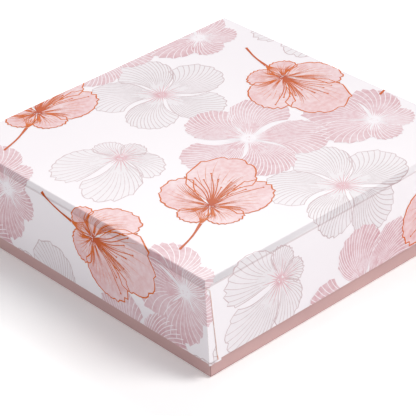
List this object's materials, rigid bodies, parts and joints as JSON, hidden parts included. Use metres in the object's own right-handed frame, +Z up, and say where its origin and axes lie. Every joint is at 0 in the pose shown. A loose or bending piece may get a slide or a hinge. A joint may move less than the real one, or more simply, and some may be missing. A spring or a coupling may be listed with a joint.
{
  "type": "flower box",
  "caption": "Square rigid paperboard gift box for flowers, with a shallow base and a deep telescoping lid covered in flower-printed paper.",
  "frame": {"origin": "middle of the underside of the base, on the surface that the box stands on", "axes": "+Z up through the lid; X and Y square to the walls, with -Y the front and -X the left side"},
  "size_m": [0.2, 0.2, 0.06],
  "materials": {
    "greyboard": "matte",
    "kraft_tape": "satin",
    "floral_paper": "satin",
    "rose_paper": "satin",
    "lining_card": "matte"
  },
  "bodies": {
    "base": {"base_board": "greyboard", "base_wrap": "rose_paper", "base_liner": "lining_card", "base_bottom_sheet": "rose_paper", "base_corner_tape_front_left": "kraft_tape", "base_corner_tape_front_right": "kraft_tape", "base_corner_tape_back_left": "kraft_tape", "base_corner_tape_back_right": "kraft_tape"},
    "lid": {"lid_board": "greyboard", "lid_wrap": "floral_paper", "lid_liner": "lining_card", "lid_corner_tape_front_left": "kraft_tape", "lid_corner_tape_front_right": "kraft_tape", "lid_corner_tape_back_left": "kraft_tape", "lid_corner_tape_back_right": "kraft_tape"}
  },
  "joints": [
    {"name": "lid_lift", "type": "slide", "parent": "base", "child": "lid", "axis": [0, 0, 1], "range_m": [0, 0.06]}
  ]
}
